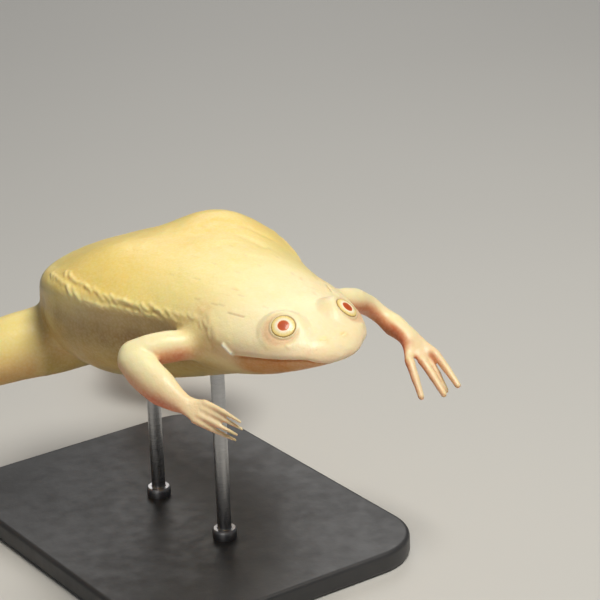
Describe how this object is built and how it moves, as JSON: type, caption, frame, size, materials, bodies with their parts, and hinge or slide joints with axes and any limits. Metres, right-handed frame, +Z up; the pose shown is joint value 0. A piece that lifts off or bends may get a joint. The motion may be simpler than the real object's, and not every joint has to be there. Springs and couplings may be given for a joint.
{
  "type": "african clawed frog museum model",
  "caption": "Life-size still model of an albino African clawed frog, swimming with its arms held forward, on a plain display stand.",
  "frame": {"origin": "on the floor, under the middle of the whole model's box", "axes": "+Z up; -Y the way the frog faces, so +Y runs back along its body; +X the frog's left"},
  "size_m": [0.1386, 0.1792, 0.0759],
  "materials": {
    "skin_back": "moist soft skin, pale yellow to cream",
    "skin_limb": "moist soft skin, cream to pink",
    "eye": "wet, cream iris round an orange-red pupil",
    "claw": "horn",
    "stand_base": "satin, charcoal",
    "stand_rod": "brushed"
  },
  "bodies": {
    "root": {"eye_left": "eye", "eye_right": "eye", "head": "skin_back", "left_claw_1": "claw", "left_claw_2": "claw", "left_claw_3": "claw", "left_foot": "skin_limb", "left_forearm": "skin_limb", "left_hand": "skin_limb", "left_shank": "skin_limb", "left_tarsus": "skin_limb", "left_thigh": "skin_limb", "left_upper_arm": "skin_limb", "lower_jaw": "skin_limb", "right_claw_1": "claw", "right_claw_2": "claw", "right_claw_3": "claw", "right_foot": "skin_limb", "right_forearm": "skin_limb", "right_hand": "skin_limb", "right_shank": "skin_limb", "right_tarsus": "skin_limb", "right_thigh": "skin_limb", "right_upper_arm": "skin_limb", "stand_base": "stand_base", "stand_rod_front": "stand_rod", "stand_rod_rear": "stand_rod", "trunk": "skin_back"}
  },
  "joints": []
}
